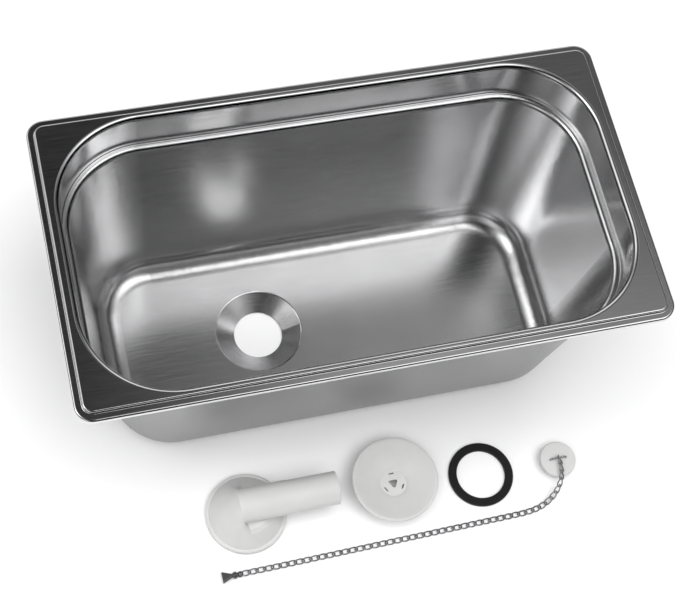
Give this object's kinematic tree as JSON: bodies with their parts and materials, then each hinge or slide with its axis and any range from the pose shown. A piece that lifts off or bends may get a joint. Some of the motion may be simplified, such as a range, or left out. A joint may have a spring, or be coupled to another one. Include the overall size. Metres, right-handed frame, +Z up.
{
  "type": "drop-in stainless steel sink with waste kit",
  "caption": "Small rectangular drop-in sink basin of pressed steel sheet with a conical drain seat, shown with its waste flange, sealing ring, outlet elbow and plug on a chain.",
  "frame": {"origin": "middle of the rim, level with the lower edge of its turned-down lip, where it rests on a worktop", "axes": "+X along the long side, away from the drain; +Y towards the back; +Z up"},
  "size_m": [0.325, 0.2343, 0.1572],
  "materials": {
    "steel": "polished satin",
    "white_plastic": "semi-matte",
    "black_rubber": "matte",
    "chain_metal": "bright",
    "clip_metal": "dull"
  },
  "bodies": {
    "sink": {"basin": "steel"},
    "flange": {"waste_flange": "white_plastic"},
    "ring": {"sealing_ring": "black_rubber"},
    "elbow": {"waste_elbow": "white_plastic"},
    "plug": {"plug_body": "white_plastic", "plug_staple": "chain_metal"},
    "link_01": {"chain_link_01": "chain_metal"},
    "link_02": {"chain_link_02": "chain_metal"},
    "link_03": {"chain_link_03": "chain_metal"},
    "link_04": {"chain_link_04": "chain_metal"},
    "link_05": {"chain_link_05": "chain_metal"},
    "link_06": {"chain_link_06": "chain_metal"},
    "link_07": {"chain_link_07": "chain_metal"},
    "link_08": {"chain_link_08": "chain_metal"},
    "link_09": {"chain_link_09": "chain_metal"},
    "link_10": {"chain_link_10": "chain_metal"},
    "link_11": {"chain_link_11": "chain_metal"},
    "run_1": {"chain_run_1": "chain_metal"},
    "run_2": {"chain_run_2": "chain_metal"},
    "run_3": {"chain_run_3": "chain_metal"},
    "run_4": {"chain_run_4": "chain_metal"},
    "run_5": {"chain_run_5": "chain_metal"},
    "clip": {"end_clip": "clip_metal"}
  },
  "joints": [
    {"name": "flange_lift", "type": "slide", "parent": "sink", "child": "flange", "axis": [0, 0, 1], "range_m": [0, 0.1]},
    {"name": "ring_lift", "type": "slide", "parent": "sink", "child": "ring", "axis": [0, 0, 1], "range_m": [0, 0.1]},
    {"name": "elbow_lift", "type": "slide", "parent": "sink", "child": "elbow", "axis": [0, 0, 1], "range_m": [0, 0.1]},
    {"name": "plug_pull", "type": "slide", "parent": "sink", "child": "plug", "axis": [0, 0, 1], "range_m": [0, 0.12]},
    {"name": "link_01_turn", "type": "hinge", "parent": "plug", "child": "link_01", "pos_m": [0.122, -0.113, -0.1415], "axis": [-1, 0, 0], "range_deg": [0, 60]},
    {"name": "link_02_turn", "type": "hinge", "parent": "link_01", "child": "link_02", "pos_m": [0.122, -0.11689, -0.1415], "axis": [0, 0, 1], "range_deg": [0, 20]},
    {"name": "link_03_turn", "type": "hinge", "parent": "link_02", "child": "link_03", "pos_m": [0.12135, -0.1215, -0.1415], "axis": [0, 0, 1], "range_deg": [0, 20]},
    {"name": "link_04_turn", "type": "hinge", "parent": "link_03", "child": "link_04", "pos_m": [0.11992, -0.1259, -0.14198], "axis": [0, 0, 1], "range_deg": [0, 20]},
    {"name": "link_05_turn", "type": "hinge", "parent": "link_04", "child": "link_05", "pos_m": [0.11786, -0.12961, -0.14388], "axis": [0, 0, 1], "range_deg": [0, 20]},
    {"name": "link_06_turn", "type": "hinge", "parent": "link_05", "child": "link_06", "pos_m": [0.11551, -0.13242, -0.14674], "axis": [0, 0, 1], "range_deg": [0, 20]},
    {"name": "link_07_turn", "type": "hinge", "parent": "link_06", "child": "link_07", "pos_m": [0.11248, -0.13487, -0.14927], "axis": [0, 0, 1], "range_deg": [0, 20]},
    {"name": "link_08_turn", "type": "hinge", "parent": "link_07", "child": "link_08", "pos_m": [0.10866, -0.13699, -0.15086], "axis": [0, 0, 1], "range_deg": [0, 20]},
    {"name": "link_09_turn", "type": "hinge", "parent": "link_08", "child": "link_09", "pos_m": [0.10432, -0.13857, -0.15143], "axis": [0, 0, 1], "range_deg": [0, 20]},
    {"name": "link_10_turn", "type": "hinge", "parent": "link_09", "child": "link_10", "pos_m": [0.09977, -0.13954, -0.15143], "axis": [0, 0, 1], "range_deg": [0, 20]},
    {"name": "link_11_turn", "type": "hinge", "parent": "link_10", "child": "link_11", "pos_m": [0.09515, -0.14002, -0.15143], "axis": [0, 0, 1], "range_deg": [0, 20]},
    {"name": "run_1_turn", "type": "hinge", "parent": "link_11", "child": "run_1", "pos_m": [0.0905, -0.14019, -0.15143], "axis": [0, 0, 1], "range_deg": [0, 20]},
    {"name": "run_2_swing", "type": "hinge", "parent": "run_1", "child": "run_2", "pos_m": [0.0533, -0.14071, -0.15143], "axis": [0, 0, 1], "range_deg": [0, 20]},
    {"name": "run_3_swing", "type": "hinge", "parent": "run_2", "child": "run_3", "pos_m": [0.01611, -0.14122, -0.15143], "axis": [0, 0, 1], "range_deg": [0, 20]},
    {"name": "run_4_swing", "type": "hinge", "parent": "run_3", "child": "run_4", "pos_m": [-0.01644, -0.14168, -0.15143], "axis": [0, 0, 1], "range_deg": [0, 20]},
    {"name": "run_5_swing", "type": "hinge", "parent": "run_4", "child": "run_5", "pos_m": [-0.04899, -0.14213, -0.15143], "axis": [0, 0, 1], "range_deg": [0, 20]},
    {"name": "clip_swing", "type": "hinge", "parent": "run_5", "child": "clip", "pos_m": [-0.08228, -0.1426, -0.15067], "axis": [0.0099, -0.707, 0.7071], "range_deg": [-25, 25]}
  ]
}
